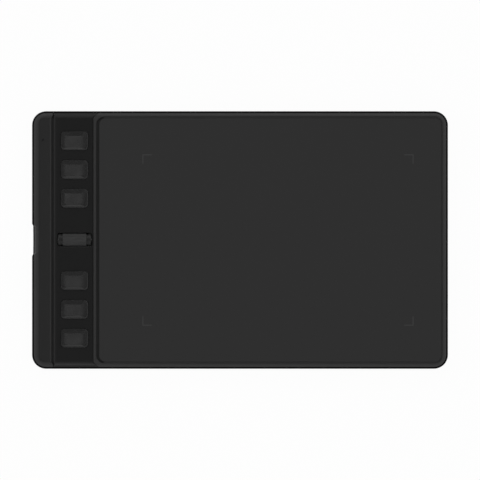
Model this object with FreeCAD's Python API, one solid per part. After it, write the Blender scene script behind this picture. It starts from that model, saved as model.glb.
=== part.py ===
"""Small pen tablet: a slab with a drawing film, six push keys and a scroll roller.

Millimetres. +X runs along the long side, away from the keys, +Y away from the user, +Z up.
The origin is the centre of the footprint on the table, under the feet.
"""
import FreeCAD, Part
import math
import os

from FreeCAD import Vector

os.makedirs("parts", exist_ok=True)

# Outer form
WIDTH = 244.3
DEPTH = 151.3
CORNER_R = 8.2
TOP_Z = 8.6
BASE_Z = 0.8
SEAM_Z = 4.6
LEDGE = 1.2
LEDGE_EDGE_R = 0.15
RIM_R = 2.6
RIM_REACH = 2.0
RIM_CREASE_R = 0.2
BASE_FILLET = 2.2
WALL = 2.4
REVEAL_DEPTH = 0.25
REVEAL_HEIGHT = 0.3
HALF_W = WIDTH / 2
HALF_D = DEPTH / 2

# Inside of the casing
FLOOR_Z = 2.0
LEDGE_UNDER_Z = 5.9
BAND_UNDER_Z = 6.7
SKIN_UNDER_Z = 7.0
SENSOR_BAY_X = -81.3
BAND_BAY_X = -118.6
BAND_BAY_END_X = -111.8
LIP_GAP = 0.1
LIP_THICK = 0.7
LIP_HEIGHT = 1.0
BITE = 0.2
FREE_GAP = 0.1
FULL_ROUND = 0.01

# Trim band at the left
BAND_X0 = -118.1
BAND_X1 = -110.8
BAND_HALF_Y = 71.7
BAND_THICK = 0.8
BAND_EDGE_R = 1.6
BAND_EDGE_REACH = 1.15
BAND_CORNER_R = 3.6
BAND_GAP = 0.1

# Channel of the key strip, and the strip, whose ends rise and wrap over the rim
CHANNEL_X0 = -110.7
CHANNEL_X0_AT_RIM = -109.9
CHANNEL_X1 = -86.1
CHANNEL_Z = 6.9
CHANNEL_EDGE_R = 0.5
BROW_STEPS = 3
SHIFT_Y0 = 71.9
SHIFT_Y1 = 73.4
FLARE_Y = 71.2
FLARE_R = 1.6
FLARE_TURN = math.radians(50)
STRIP_X0 = -109.6
STRIP_X0_AT_RIM = -109.4
STRIP_X1 = -86.25
STRIP_TOP_Z = 7.6
STRIP_EDGE_R = 1.7
STRIP_EDGE_REACH = 1.2
RAMP_TOP_Y = 74.3
RAMP_FOOT_Y = 71.0
RAMP_MID_RISE = 0.25
HOOK_THICK = 0.7
HOOK_Z = 5.4
HOOK_GAP = 0.06

# Drawing film, its plateau and the groove round it
GROOVE_X0 = -84.6
GROOVE_X1 = 118.9
GROOVE_HALF_Y = 72.5
GROOVE_Z = 8.05
GROOVE_CORNER_R = 4.8
GROOVE_EDGE_R = 0.25
DEEP_Z = 7.35
DEEP_END_X = -80.0
DEEP_FOOT = 0.3
DEEP_FILM_GAP = 0.1
FILM_X0 = -82.6
FILM_X1 = 118.1
FILM_HALF_Y = 71.4
FILM_CORNER_R = 3.5
PLATEAU_Z = 8.2
PLATEAU_ROOT = 0.35
ADHESIVE_THICK = 0.1
ADHESIVE_INSET = 1.0
FILM_THICK = 0.2
FILM_EDGE_R = 0.12

# Keys
KEY_X = -97.15
KEY_W = 15.7
KEY_H = 10.8
KEY_CORNER_R = 2.0
KEY_TOP_Z = 8.5
KEY_CENTRES_Y = (58.2, 41.3, 24.4, -23.9, -40.8, -57.7)
KEY_EDGE_R = 0.5
KEY_LIP = 0.3
KEY_NEAR_LIP = 0.55
KEY_DISH_DEPTH = 0.4
KEY_DISH_FAR = 2.6
KEY_DISH_NEAR = 1.8
KEY_DISH_SIDE = 3.4
KEY_DISH_FOOT_R = 0.8
KEY_DISH_BROW_R = 1.7
KEY_DISH_OVER = 0.05
KEY_GAP = 0.2
KEY_FLANGE = 0.9
KEY_FLANGE_Z0 = 6.05
KEY_FLANGE_Z1 = 6.85
KEY_POST_R = 1.4
WINDOW_MARGIN = 1.3
WINDOW_X0 = -108.0
WINDOW_X1 = -87.9

# Tactile switches
SWITCH_SIZE = 6.0
SWITCH_TOP_Z = 4.9
SWITCH_CAVITY_Z0 = 3.8
SWITCH_CAVITY_Z1 = 4.65
SWITCH_CAVITY_R = 2.1
PLUNGER_R = 1.6
PLUNGER_GAP = 0.05
COLLAR_R = 2.0
COLLAR_Z0 = 4.4
COLLAR_Z1 = 4.6
PLUNGER_TOP_Z = 5.5

# Scroll roller, about an axle along X
ROLLER_Y = 0.2
ROLLER_Z = 5.55
TYRE_R = 3.8
TYRE_INNER_R = 2.9
TYRE_HALF = 7.0
TYRE_RIBS = 24
RIB_GROOVE_R = 0.22
NECK_R = 2.2
NECK_LENGTH = 0.9
CAP_R = 3.6
CAP_OUTER = 9.8
CAP_ROUND = 0.8
AXLE_R = 0.75
AXLE_HALF = 11.5
AXLE_CHAMFER = 0.15
BUSH_R = 1.3
BUSH_GAP = 0.04
FIT_GAP = 0.01
ARM_INNER = 9.95
ARM_OUTER = 11.55
ARM_HALF_Y = 2.6
ARM_TOP_Z = 6.8
CRADLE_Z0 = 1.5
CRADLE_Z1 = 3.0
RAIL_Y0 = 4.2
RAIL_Y1 = 5.4
EAR_HALF_X = 3.0
EAR_Y1 = 9.0
EAR_SCREW_Y = 7.2
EAR_THICK = 1.0
SLOT_HALF_X = 10.3
SLOT_HALF_Y = 4.75
BAY_X0 = -109.2
BAY_X1 = -85.2
BAY_HALF_Y = 4.4
MAGNET_R = 1.9
MAGNET_DEPTH = 1.0

# Control board and what stands on it
BOARD_X0 = -117.6
BOARD_X1 = -86.4
BOARD_HALF_Y = 66.0
BOARD_Z0 = 2.6
BOARD_Z1 = 3.6
BOARD_BAY_X0 = -109.5
BOARD_BAY_HALF_Y = 9.6
BOARD_SCREWS = ((-90.0, 64.0), (-90.0, -64.0), (-114.0, 20.0), (-114.0, -20.0))
CHIP_HEIGHT = 0.9
CHIPS = {
    "hall_sensor": (-111.8, 1.0, 2.9, 1.6),
    "controller_chip": (-101.0, 13.6, 6.0, 6.0),
    "signal_chip": (-101.0, -13.4, 5.0, 4.4),
    "clock_crystal": (-94.6, 13.6, 3.2, 2.5),
}

# Data socket in the left edge
PORT_Y = 0.05
PORT_Z = 4.68
PORT_W = 8.94
PORT_H = 3.16
PORT_SKIN = 0.3
PORT_X0 = -120.6
PORT_X1 = -113.9
PORT_GAP = 0.08
TONGUE_W = 6.7
TONGUE_H = 0.7
TONGUE_X0 = -119.9
PORT_BACK = 1.2

# Scooped notch round the socket: half lengths and depths of its outline, from bottom to top
NOTCH_SECTIONS = (
    (0.6, -121.5, 8.3),
    (4.5, -121.5, 8.3),
    (4.7, -120.8, 8.0),
    (6.6, -120.7, 7.9),
    (7.9, -119.9, 7.4),
    (8.3, -119.2, 6.9),
    (8.65, -117.7, 5.95),
)
NOTCH_FAR_X = -123.5
NOTCH_FAR_HALF_Y = 12.0

# Status lamp
LAMP_X = -115.7
LAMP_Y = 58.8
LAMP_R = 0.75
LAMP_GAP = 0.05
LAMP_FLANGE_R = 1.4
LAMP_FLANGE_THICK = 0.6
LED_SIZE = 1.6
LED_HEIGHT = 0.6
LED_GAP = 0.2

# Sensor board, its shield and the link to the control board
SENSOR_X0 = -80.6
SENSOR_X1 = 116.4
SENSOR_HALF_Y = 70.0
SENSOR_THICK = 0.8
SHIELD_X0 = -72.0
SHIELD_X1 = 114.0
SHIELD_HALF_Y = 67.0
SHIELD_THICK = 0.3
SHIELD_CORNER_R = 1.0
CABLE_Y = -13.2
CABLE_W = 6.0
CABLE_THICK = 0.2
CABLE_BEND_X = (-85.6, -82.2)
CONNECTOR_W = 7.4
CONNECTOR_HEIGHT = 1.0
BOARD_CONNECTOR_X = (-92.2, -88.2)
SENSOR_CONNECTOR_X = (-79.6, -76.0)

# Screws, bosses and feet
BOSS_R = 1.9
BOSS_Z0 = 2.9
PILOT_R = 0.8
CASE_SCREWS = (
    (-115.4, 69.0), (-115.4, -69.0),
    (-50.0, 71.0), (-50.0, -71.0),
    (34.0, 71.0), (34.0, -71.0),
    (112.0, 69.4), (112.0, -69.4),
)
POST_R = 2.6
POST_FOOT_Z = 1.4
HEAD_R = 1.6
HEAD_SINK_R = 1.75
HEAD_THICK = 0.8
HEAD_SINK_Z = 1.8
SHANK_R = 0.75
SHANK_HOLE_R = 1.0
CASE_SCREW_END_Z = 5.4
PILOT_TOP_Z = 5.7
SMALL_POST_R = 1.8
SMALL_HEAD_R = 1.3
SMALL_SHANK_R = 0.6
SMALL_PILOT_R = 0.65
SMALL_HEAD_THICK = 0.6
SMALL_PILOT_Z = 1.3
SMALL_SCREW_END_Z = 1.5
DRIVE_DEPTH = 0.4
DRIVE_REACH = 0.6
DRIVE_HALF_WIDTH = 0.18
FOOT_LENGTH = 24.0
FOOT_WIDTH = 8.0
FOOT_SINK_Z = 1.2
FOOT_ROUND = 0.3
FOOT_CENTRES = ((-96.0, 58.0), (96.0, 58.0), (-96.0, -58.0), (96.0, -58.0))
FOOT_GAP = 0.05

# Ribs on the floor that carry the sensor board
RIB_THICK = 1.0
RIB_LINES_Y = (-52.0, -26.0, 0.0, 26.0, 52.0)
RIB_LINES_X = (-60.0, -20.0, 20.0, 60.0, 100.0)
RIB_INSET = 2.0
RIB_TOP_Z = SKIN_UNDER_Z - SENSOR_THICK - SHIELD_THICK
OVER = 1.0
CLOSE = 1e-6


def box(x0, x1, y0, y1, z0, z1):
    return Part.makeBox(x1 - x0, y1 - y0, z1 - z0, Vector(x0, y0, z0))


def post(x, y, z0, z1, radius):
    return Part.makeCylinder(radius, z1 - z0, Vector(x, y, z0))


def rod(x0, x1, radius):
    """Cylinder on the roller's axis."""
    return Part.makeCylinder(radius, x1 - x0, Vector(x0, ROLLER_Y, ROLLER_Z), Vector(1, 0, 0))


def rounded_wire(x0, x1, y0, y1, z, radius):
    """Rectangle with four round corners, as a wire at height z."""
    corners = ((x1 - radius, y1 - radius, 0), (x0 + radius, y1 - radius, 90),
               (x0 + radius, y0 + radius, 180), (x1 - radius, y0 + radius, 270))
    edges = []
    for cx, cy, start in corners:
        circle = Part.Circle(Vector(cx, cy, z), Vector(0, 0, 1), radius)
        edges.append(Part.Arc(circle, math.radians(start), math.radians(start + 90)).toShape())
    outline = []
    for i, edge in enumerate(edges):
        following = edges[(i + 1) % 4]
        outline.append(edge)
        start = edge.valueAt(edge.LastParameter)
        end = following.valueAt(following.FirstParameter)
        if start.distanceToPoint(end) > CLOSE:
            outline.append(Part.LineSegment(start, end).toShape())
    return Part.Wire(outline)


def plate(x0, x1, y0, y1, z0, z1, radius):
    """Flat piece with round corners."""
    face = Part.Face(rounded_wire(x0, x1, y0, y1, z0, radius))
    return face.extrude(Vector(0, 0, z1 - z0))


def slab(inset, z0, z1):
    """The outline of the casing, drawn in by inset."""
    return plate(-HALF_W + inset, HALF_W - inset, -HALF_D + inset, HALF_D - inset,
                 z0, z1, CORNER_R - inset)


def path_wire(points, bends):
    """Closed wire through the points; bends gives the middle of each stretch that is an arc."""
    edges = []
    for i, start in enumerate(points):
        end = points[(i + 1) % len(points)]
        if i in bends:
            edges.append(Part.Arc(start, bends[i], end).toShape())
        else:
            edges.append(Part.makeLine(start, end))
    return Part.Wire(edges)


def edges_at(shape, z):
    """Edges that lie in the plane at height z."""
    found = []
    for edge in shape.Edges:
        level = all(abs(v.Z - z) < CLOSE for v in edge.Vertexes)
        if level and abs(edge.BoundBox.ZLength) < CLOSE:
            found.append(edge)
    return found


def joined(shapes):
    """One solid out of several that touch."""
    whole = shapes[0].multiFuse(list(shapes[1:]))
    return whole.removeSplitter()


def cut_all(shape, cutters):
    return shape.cut(Part.makeCompound(cutters)) if len(cutters) > 1 else shape.cut(cutters[0])


def save(shape, name):
    shape.exportStep(os.path.join("parts", name + ".step"))


def top_form():
    """Outside of the top cover: its wide rounding ends at an upright side, back from the base."""
    form = slab(LEDGE + RIM_REACH - RIM_R, SEAM_Z, TOP_Z)
    form = form.makeFillet(RIM_R, edges_at(form, TOP_Z)).common(slab(LEDGE, SEAM_Z, TOP_Z))
    crease_z = TOP_Z - RIM_R + math.sqrt(RIM_R ** 2 - RIM_REACH ** 2)
    return form.makeFillet(RIM_CREASE_R, edges_at(form, crease_z))


def base_form():
    """Outside of the bottom cover, whose upper edge shows as a narrow ledge."""
    form = slab(0, BASE_Z, SEAM_Z)
    form = form.makeFillet(LEDGE_EDGE_R, edges_at(form, SEAM_Z))
    return form.makeFillet(BASE_FILLET, edges_at(form, BASE_Z))


def notch():
    """Scoop round the data socket, open to the left."""
    wires = []
    for z, x, half_y in NOTCH_SECTIONS:
        corners = [Vector(x, PORT_Y + half_y, z), Vector(NOTCH_FAR_X, NOTCH_FAR_HALF_Y, z),
                   Vector(NOTCH_FAR_X, -NOTCH_FAR_HALF_Y, z), Vector(x, PORT_Y - half_y, z)]
        wires.append(Part.makePolygon(corners + corners[:1]))
    return Part.makeLoft(wires, True, True)


def port_hole(gap):
    """Flat oval tunnel for the socket's shell."""
    half_w = PORT_W / 2 + gap
    half_h = PORT_H / 2 + gap
    flat = plate(-half_w, half_w, -half_h, half_h, 0, PORT_X1 - NOTCH_FAR_X, half_h - FULL_ROUND)
    flat.rotate(Vector(0, 0, 0), Vector(0, 0, 1), 90)
    flat.rotate(Vector(0, 0, 0), Vector(0, 1, 0), 90)
    flat.translate(Vector(NOTCH_FAR_X, PORT_Y, PORT_Z))
    return flat


def reveal():
    """Shadow line round the foot of the top cover."""
    z1 = SEAM_Z + REVEAL_HEIGHT
    return slab(-OVER, SEAM_Z, z1).cut(slab(LEDGE + REVEAL_DEPTH, SEAM_Z, z1))


def strip_outline(x0, x0_at_rim, x1, z):
    """Full-depth outline of the strip: it shifts at the left and flares at the right."""
    far_y = HALF_D + OVER
    turned_x = x1 + FLARE_R * (1 - math.cos(FLARE_TURN))
    turned_y = FLARE_Y + FLARE_R * math.sin(FLARE_TURN)
    mid_x = x1 + FLARE_R * (1 - math.cos(FLARE_TURN / 2))
    mid_y = FLARE_Y + FLARE_R * math.sin(FLARE_TURN / 2)
    far_x = turned_x + (far_y - turned_y) * math.tan(FLARE_TURN)
    upper = [(x1, FLARE_Y), (turned_x, turned_y), (far_x, far_y), (x0_at_rim, far_y),
             (x0_at_rim, SHIFT_Y1), (x0, SHIFT_Y0)]
    lower = [(x, -y) for x, y in reversed(upper)]
    points = [Vector(x, y, z) for x, y in upper + lower]
    return path_wire(points, {0: Vector(mid_x, mid_y, z), 10: Vector(mid_x, -mid_y, z)})


def strip_plan(x0, x0_at_rim, x1, z0, z1):
    """Prism of the strip's outline."""
    return Part.Face(strip_outline(x0, x0_at_rim, x1, z0)).extrude(Vector(0, 0, z1 - z0))


def strip_channel():
    """Room for the strip and its two hooks in the top cover."""
    channel = strip_plan(CHANNEL_X0, CHANNEL_X0_AT_RIM, CHANNEL_X1, CHANNEL_Z, TOP_Z + OVER)
    outline = strip_plan(CHANNEL_X0, CHANNEL_X0_AT_RIM, CHANNEL_X1, HOOK_Z - HOOK_GAP, TOP_Z)
    return joined([channel, outline.cut(slab(LEDGE + HOOK_THICK + HOOK_GAP, 0, TOP_Z + OVER))])


def channel_brow():
    """What the softened edge of the channel's right wall takes away, in three narrow facets."""
    wires = []
    for step in range(BROW_STEPS + 1):
        turn = math.pi / 2 * step / BROW_STEPS
        x1 = CHANNEL_X1 + CHANNEL_EDGE_R * (1 - math.cos(turn))
        z = TOP_Z - CHANNEL_EDGE_R * (1 - math.sin(turn))
        wires.append(strip_outline(CHANNEL_X0, CHANNEL_X0_AT_RIM, x1, z))
    return Part.makeLoft(wires, True, True)


def strip_air():
    """What lies above the strip: a trough whose ends rise to the rim in a hollow curve."""
    mid_y = (RAMP_TOP_Y + RAMP_FOOT_Y) / 2
    mid_z = STRIP_TOP_Z + (TOP_Z - STRIP_TOP_Z) * RAMP_MID_RISE
    upper = [(RAMP_FOOT_Y, STRIP_TOP_Z), (RAMP_TOP_Y, TOP_Z), (RAMP_TOP_Y, TOP_Z + OVER)]
    lower = [(-y, z) for y, z in reversed(upper)]
    points = [Vector(BAND_X0, y, z) for y, z in upper + lower]
    bends = {0: Vector(BAND_X0, mid_y, mid_z), 4: Vector(BAND_X0, -mid_y, mid_z)}
    return Part.Face(path_wire(points, bends)).extrude(Vector(FILM_X0 + OVER - BAND_X0, 0, 0))


def edge_waste(edge_x, side, top_z, radius, reach, half_y):
    """What the rounding of a long edge takes away; side is 1 where the air is at larger x."""
    middle_x = edge_x - side * reach
    edge_z = top_z - radius + math.sqrt(radius ** 2 - reach ** 2)
    x0, x1 = sorted((middle_x, edge_x + side * OVER))
    corner = box(x0, x1, -half_y, half_y, edge_z, top_z + OVER)
    axis = Vector(middle_x, -half_y, top_z - radius)
    return corner.cut(Part.makeCylinder(radius, 2 * half_y, axis, Vector(0, 1, 0)))


def deep_groove():
    """Deeper part of the groove, along the film's left edge and round its corners."""
    half_y = GROOVE_HALF_Y - DEEP_FOOT
    outer = plate(GROOVE_X0 + DEEP_FOOT, GROOVE_X1, -half_y, half_y, DEEP_Z, TOP_Z,
                  GROOVE_CORNER_R - DEEP_FOOT)
    half_y = FILM_HALF_Y + DEEP_FILM_GAP
    inner = plate(FILM_X0 - DEEP_FILM_GAP, GROOVE_X1, -half_y, half_y, DEEP_Z, TOP_Z,
                  FILM_CORNER_R + DEEP_FILM_GAP)
    return outer.common(box(-HALF_W, DEEP_END_X, -HALF_D, HALF_D, 0, TOP_Z)).cut(inner)


def groove_rim(cover):
    """Upper edges of the groove, at the rim."""
    rim = []
    for edge in edges_at(cover, TOP_Z):
        box_of = edge.BoundBox
        in_x = box_of.XMin > GROOVE_X0 - CLOSE and box_of.XMax < GROOVE_X1 + CLOSE
        in_y = box_of.YMin > -GROOVE_HALF_Y - CLOSE and box_of.YMax < GROOVE_HALF_Y + CLOSE
        if in_x and in_y:
            rim.append(edge)
    return rim


def key_windows():
    """Openings in the ledge under the strip, one below each key."""
    half = KEY_H / 2 + WINDOW_MARGIN
    return [box(WINDOW_X0, WINDOW_X1, y - half, y + half, 0, TOP_Z) for y in KEY_CENTRES_Y]


def make_top_cover():
    cover = top_form()
    low_bay = slab(WALL, 0, LEDGE_UNDER_Z)
    band_bay = box(BAND_BAY_X, BAND_BAY_END_X, -BAND_HALF_Y + OVER, BAND_HALF_Y - OVER,
                   0, BAND_UNDER_Z)
    sensor_bay = slab(WALL, 0, SKIN_UNDER_Z).common(
        box(SENSOR_BAY_X, HALF_W, -HALF_D, HALF_D, 0, SKIN_UNDER_Z))
    roller_bay = box(BAY_X0, BAY_X1, ROLLER_Y - BAY_HALF_Y, ROLLER_Y + BAY_HALF_Y, 0, CHANNEL_Z)
    band_pocket = plate(BAND_X0 - BAND_GAP, CHANNEL_X0 + BAND_CORNER_R, -BAND_HALF_Y - BAND_GAP,
                        BAND_HALF_Y + BAND_GAP, TOP_Z - BAND_THICK, TOP_Z + OVER, BAND_CORNER_R)
    band_pocket = band_pocket.common(box(-HALF_W, CHANNEL_X0, -HALF_D, HALF_D, 0, TOP_Z + OVER))
    groove = plate(GROOVE_X0, GROOVE_X1, -GROOVE_HALF_Y, GROOVE_HALF_Y, GROOVE_Z,
                   TOP_Z + OVER, GROOVE_CORNER_R)
    plateau = plate(FILM_X0, FILM_X1, -FILM_HALF_Y, FILM_HALF_Y, GROOVE_Z - PLATEAU_ROOT,
                    PLATEAU_Z, FILM_CORNER_R)
    cover = cover.cut(low_bay).cut(band_bay).cut(sensor_bay).cut(roller_bay)
    cover = cover.cut(strip_channel()).cut(band_pocket).cut(groove)
    cover = cover.makeFillet(GROOVE_EDGE_R, groove_rim(cover))
    cover = cover.cut(channel_brow()).cut(deep_groove())
    for window in key_windows():
        cover = cover.cut(window)
    cover = cover.fuse(plateau)
    bosses = []
    for x, y in CASE_SCREWS:
        bosses.append(post(x, y, BOSS_Z0, SKIN_UNDER_Z, BOSS_R))
    cover = joined([cover] + bosses)
    for x, y in CASE_SCREWS:
        cover = cover.cut(post(x, y, BOSS_Z0 - OVER, PILOT_TOP_Z, PILOT_R))
    cover = cover.cut(post(LAMP_X, LAMP_Y, 0, TOP_Z, LAMP_R + LAMP_GAP))
    return cover.cut(reveal()).cut(notch()).cut(port_hole(PORT_GAP))


def floor_ribs():
    """Grid of ribs under the sensor board."""
    ribs = []
    for y in RIB_LINES_Y:
        ribs.append(box(SHIELD_X0 + RIB_INSET, SHIELD_X1 - RIB_INSET, y - RIB_THICK / 2,
                        y + RIB_THICK / 2, FLOOR_Z - BITE, RIB_TOP_Z))
    for x in RIB_LINES_X:
        ribs.append(box(x - RIB_THICK / 2, x + RIB_THICK / 2, -SHIELD_HALF_Y + RIB_INSET,
                        SHIELD_HALF_Y - RIB_INSET, FLOOR_Z - BITE, RIB_TOP_Z))
    return ribs


def locating_lip():
    """Low wall inside the seam that the top cover drops over, broken at the bosses."""
    inner = WALL + LIP_GAP
    z1 = SEAM_Z + LIP_HEIGHT
    lip = slab(inner, FLOOR_Z, z1).cut(slab(inner + LIP_THICK, 0, z1 + OVER))
    gaps = [post(x, y, 0, z1 + OVER, BOSS_R + BITE) for x, y in CASE_SCREWS]
    return cut_all(lip, gaps)


def make_bottom_cover():
    cover = base_form().cut(slab(WALL, FLOOR_Z, SEAM_Z + OVER))
    additions = [locating_lip()] + floor_ribs()
    for x, y in CASE_SCREWS:
        additions.append(post(x, y, POST_FOOT_Z, BOSS_Z0, POST_R).common(slab(OVER, 0, TOP_Z)))
    for x, y in BOARD_SCREWS:
        additions.append(post(x, y, FLOOR_Z - BITE, BOARD_Z0, POST_R))
    for side in (-1, 1):
        additions.append(post(KEY_X, ROLLER_Y + side * EAR_SCREW_Y, FLOOR_Z - BITE, CRADLE_Z1,
                              SMALL_POST_R))
    cover = joined([cover] + additions)
    half_x = ARM_OUTER + FREE_GAP
    half_y = RAIL_Y1 + FREE_GAP
    roller_pocket = box(KEY_X - half_x, KEY_X + half_x, ROLLER_Y - half_y, ROLLER_Y + half_y,
                        CRADLE_Z0, SEAM_Z)
    cutters = [roller_pocket]
    for x, y in CASE_SCREWS:
        cutters.append(post(x, y, 0, BOSS_Z0 + OVER, SHANK_HOLE_R))
        cutters.append(post(x, y, 0, HEAD_SINK_Z, HEAD_SINK_R))
    for x, y in BOARD_SCREWS:
        cutters.append(post(x, y, SMALL_PILOT_Z, BOARD_Z0 + OVER, SMALL_PILOT_R))
    for side in (-1, 1):
        cutters.append(post(KEY_X, ROLLER_Y + side * EAR_SCREW_Y, SMALL_PILOT_Z,
                            CRADLE_Z1 + OVER, SMALL_PILOT_R))
    for x, y in FOOT_CENTRES:
        cutters.append(foot_form(x, y, 0, FOOT_SINK_Z, FOOT_GAP))
    for cutter in cutters:
        cover = cover.cut(cutter)
    return cover.cut(notch()).cut(port_hole(PORT_GAP))


def foot_form(x, y, z0, z1, gap):
    half_l = FOOT_LENGTH / 2 + gap
    half_w = FOOT_WIDTH / 2 + gap
    return plate(x - half_l, x + half_l, y - half_w, y + half_w, z0, z1, half_w - FULL_ROUND)


def make_foot(x, y):
    foot = foot_form(x, y, 0, FOOT_SINK_Z, 0)
    return foot.makeFillet(FOOT_ROUND, edges_at(foot, 0))


def make_left_band():
    band = plate(BAND_X0, BAND_X1 + BAND_CORNER_R, -BAND_HALF_Y, BAND_HALF_Y,
                 TOP_Z - BAND_THICK, TOP_Z, BAND_CORNER_R)
    band = band.common(box(-HALF_W, BAND_X1, -HALF_D, HALF_D, 0, TOP_Z + OVER))
    band = band.cut(edge_waste(BAND_X1, 1, TOP_Z, BAND_EDGE_R, BAND_EDGE_REACH, HALF_D))
    return band.cut(notch()).cut(post(LAMP_X, LAMP_Y, 0, TOP_Z + OVER, LAMP_R + LAMP_GAP))


def make_key_strip():
    """Plate with the key windows, whose ends rise to the rim and hook over it."""
    plate_part = strip_plan(STRIP_X0, STRIP_X0_AT_RIM, STRIP_X1, CHANNEL_Z, TOP_Z)
    hooks = strip_plan(STRIP_X0, STRIP_X0_AT_RIM, STRIP_X1, HOOK_Z, TOP_Z)
    hooks = hooks.cut(slab(LEDGE + HOOK_THICK, 0, TOP_Z + OVER))
    strip = joined([plate_part, hooks]).common(top_form()).cut(strip_air())
    strip = strip.cut(edge_waste(STRIP_X0, -1, STRIP_TOP_Z, STRIP_EDGE_R, STRIP_EDGE_REACH,
                                 RAMP_FOOT_Y))
    half_w = KEY_W / 2 + KEY_GAP
    half_h = KEY_H / 2 + KEY_GAP
    for y in KEY_CENTRES_Y:
        strip = strip.cut(plate(KEY_X - half_w, KEY_X + half_w, y - half_h, y + half_h,
                                0, TOP_Z, KEY_CORNER_R + KEY_GAP))
    slot = plate(KEY_X - SLOT_HALF_X, KEY_X + SLOT_HALF_X, ROLLER_Y - SLOT_HALF_Y,
                 ROLLER_Y + SLOT_HALF_Y, 0, TOP_Z, KEY_CORNER_R)
    return strip.cut(slot)


def make_film():
    z0 = PLATEAU_Z + ADHESIVE_THICK
    z1 = z0 + FILM_THICK
    film = plate(FILM_X0, FILM_X1, -FILM_HALF_Y, FILM_HALF_Y, z0, z1, FILM_CORNER_R)
    return film.makeFillet(FILM_EDGE_R, edges_at(film, z1))


def make_film_adhesive():
    half_y = FILM_HALF_Y - ADHESIVE_INSET
    return plate(FILM_X0 + ADHESIVE_INSET, FILM_X1 - ADHESIVE_INSET, -half_y, half_y, PLATEAU_Z,
                 PLATEAU_Z + ADHESIVE_THICK, FILM_CORNER_R)


def key_block(y):
    """Plain cap of a key with a rounded near edge."""
    half_w = KEY_W / 2
    near_y = y - KEY_H / 2
    far_y = y + KEY_H / 2
    x = KEY_X - half_w
    points = [
        Vector(x, near_y, KEY_FLANGE_Z1), Vector(x, near_y, KEY_TOP_Z - KEY_EDGE_R),
        Vector(x, near_y + KEY_EDGE_R, KEY_TOP_Z), Vector(x, far_y, KEY_TOP_Z),
        Vector(x, far_y, KEY_FLANGE_Z1),
    ]
    reach = KEY_EDGE_R * (1 - math.sqrt(0.5))
    bends = {1: Vector(x, near_y + reach, KEY_TOP_Z - reach)}
    block = Part.Face(path_wire(points, bends)).extrude(Vector(KEY_W, 0, 0))
    return block.common(plate(x, KEY_X + half_w, near_y, far_y, KEY_FLANGE_Z1, KEY_TOP_Z,
                              KEY_CORNER_R))


def key_dish(y):
    """Shallow hollow in a key's top, with sloping sides."""
    wires = []
    side_slope = (KEY_DISH_SIDE - KEY_LIP) / KEY_DISH_DEPTH
    near_slope = (KEY_DISH_NEAR - KEY_NEAR_LIP) / KEY_DISH_DEPTH
    far_slope = (KEY_DISH_FAR - KEY_LIP) / KEY_DISH_DEPTH
    for rise in (0, KEY_DISH_DEPTH + KEY_DISH_OVER):
        half_x = KEY_W / 2 - KEY_DISH_SIDE + side_slope * rise
        near_y = y - KEY_H / 2 + KEY_DISH_NEAR - near_slope * rise
        far_y = y + KEY_H / 2 - KEY_DISH_FAR + far_slope * rise
        wires.append(rounded_wire(KEY_X - half_x, KEY_X + half_x, near_y, far_y,
                                  KEY_TOP_Z - KEY_DISH_DEPTH + rise,
                                  KEY_DISH_BROW_R if rise else KEY_DISH_FOOT_R))
    return Part.makeLoft(wires, True, True)


def make_key(y):
    """Dished key cap on a retaining flange, with the post that works its switch."""
    half_w = KEY_W / 2
    half_h = KEY_H / 2
    flange = plate(KEY_X - half_w - KEY_FLANGE, KEY_X + half_w + KEY_FLANGE,
                   y - half_h - KEY_FLANGE, y + half_h + KEY_FLANGE,
                   KEY_FLANGE_Z0, KEY_FLANGE_Z1, KEY_CORNER_R)
    stem = post(KEY_X, y, PLUNGER_TOP_Z, KEY_FLANGE_Z1, KEY_POST_R)
    return joined([key_block(y).cut(key_dish(y)), flange, stem])


def make_switch_body(y):
    half = SWITCH_SIZE / 2
    body = box(KEY_X - half, KEY_X + half, y - half, y + half, BOARD_Z1, SWITCH_TOP_Z)
    body = body.cut(post(KEY_X, y, SWITCH_CAVITY_Z0, SWITCH_CAVITY_Z1, SWITCH_CAVITY_R))
    return body.cut(post(KEY_X, y, SWITCH_CAVITY_Z0, SWITCH_TOP_Z + OVER, PLUNGER_R + PLUNGER_GAP))


def make_switch_plunger(y):
    collar = post(KEY_X, y, COLLAR_Z0, COLLAR_Z1, COLLAR_R)
    return joined([collar, post(KEY_X, y, COLLAR_Z0, PLUNGER_TOP_Z, PLUNGER_R)])


def make_roller_tyre():
    tyre = rod(KEY_X - TYRE_HALF, KEY_X + TYRE_HALF, TYRE_R)
    tyre = tyre.cut(rod(KEY_X - TYRE_HALF - OVER, KEY_X + TYRE_HALF + OVER,
                        TYRE_INNER_R + FIT_GAP))
    grooves = []
    for i in range(TYRE_RIBS):
        angle = 2 * math.pi * i / TYRE_RIBS
        start = Vector(KEY_X - TYRE_HALF - OVER, ROLLER_Y + TYRE_R * math.cos(angle),
                       ROLLER_Z + TYRE_R * math.sin(angle))
        grooves.append(Part.makeCylinder(RIB_GROOVE_R, 2 * (TYRE_HALF + OVER), start,
                                         Vector(1, 0, 0)))
    return cut_all(tyre, grooves)


def make_roller_core():
    barrel = rod(KEY_X - TYRE_HALF, KEY_X + TYRE_HALF, TYRE_INNER_R)
    neck_end = TYRE_HALF + NECK_LENGTH
    neck = rod(KEY_X - neck_end, KEY_X + neck_end, NECK_R)
    pieces = [barrel, neck]
    for side in (-1, 1):
        inner = KEY_X + side * neck_end
        outer = KEY_X + side * CAP_OUTER
        cap = rod(min(inner, outer), max(inner, outer), CAP_R)
        rim = [e for e in cap.Edges if isinstance(e.Curve, Part.Circle)]
        pieces.append(cap.makeFillet(CAP_ROUND, rim))
    core = joined(pieces)
    core = core.cut(rod(KEY_X - CAP_OUTER - OVER, KEY_X + CAP_OUTER + OVER, AXLE_R + FIT_GAP))
    return core.cut(rod(KEY_X - CAP_OUTER - OVER, KEY_X - CAP_OUTER + MAGNET_DEPTH,
                        MAGNET_R + FIT_GAP))


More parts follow.
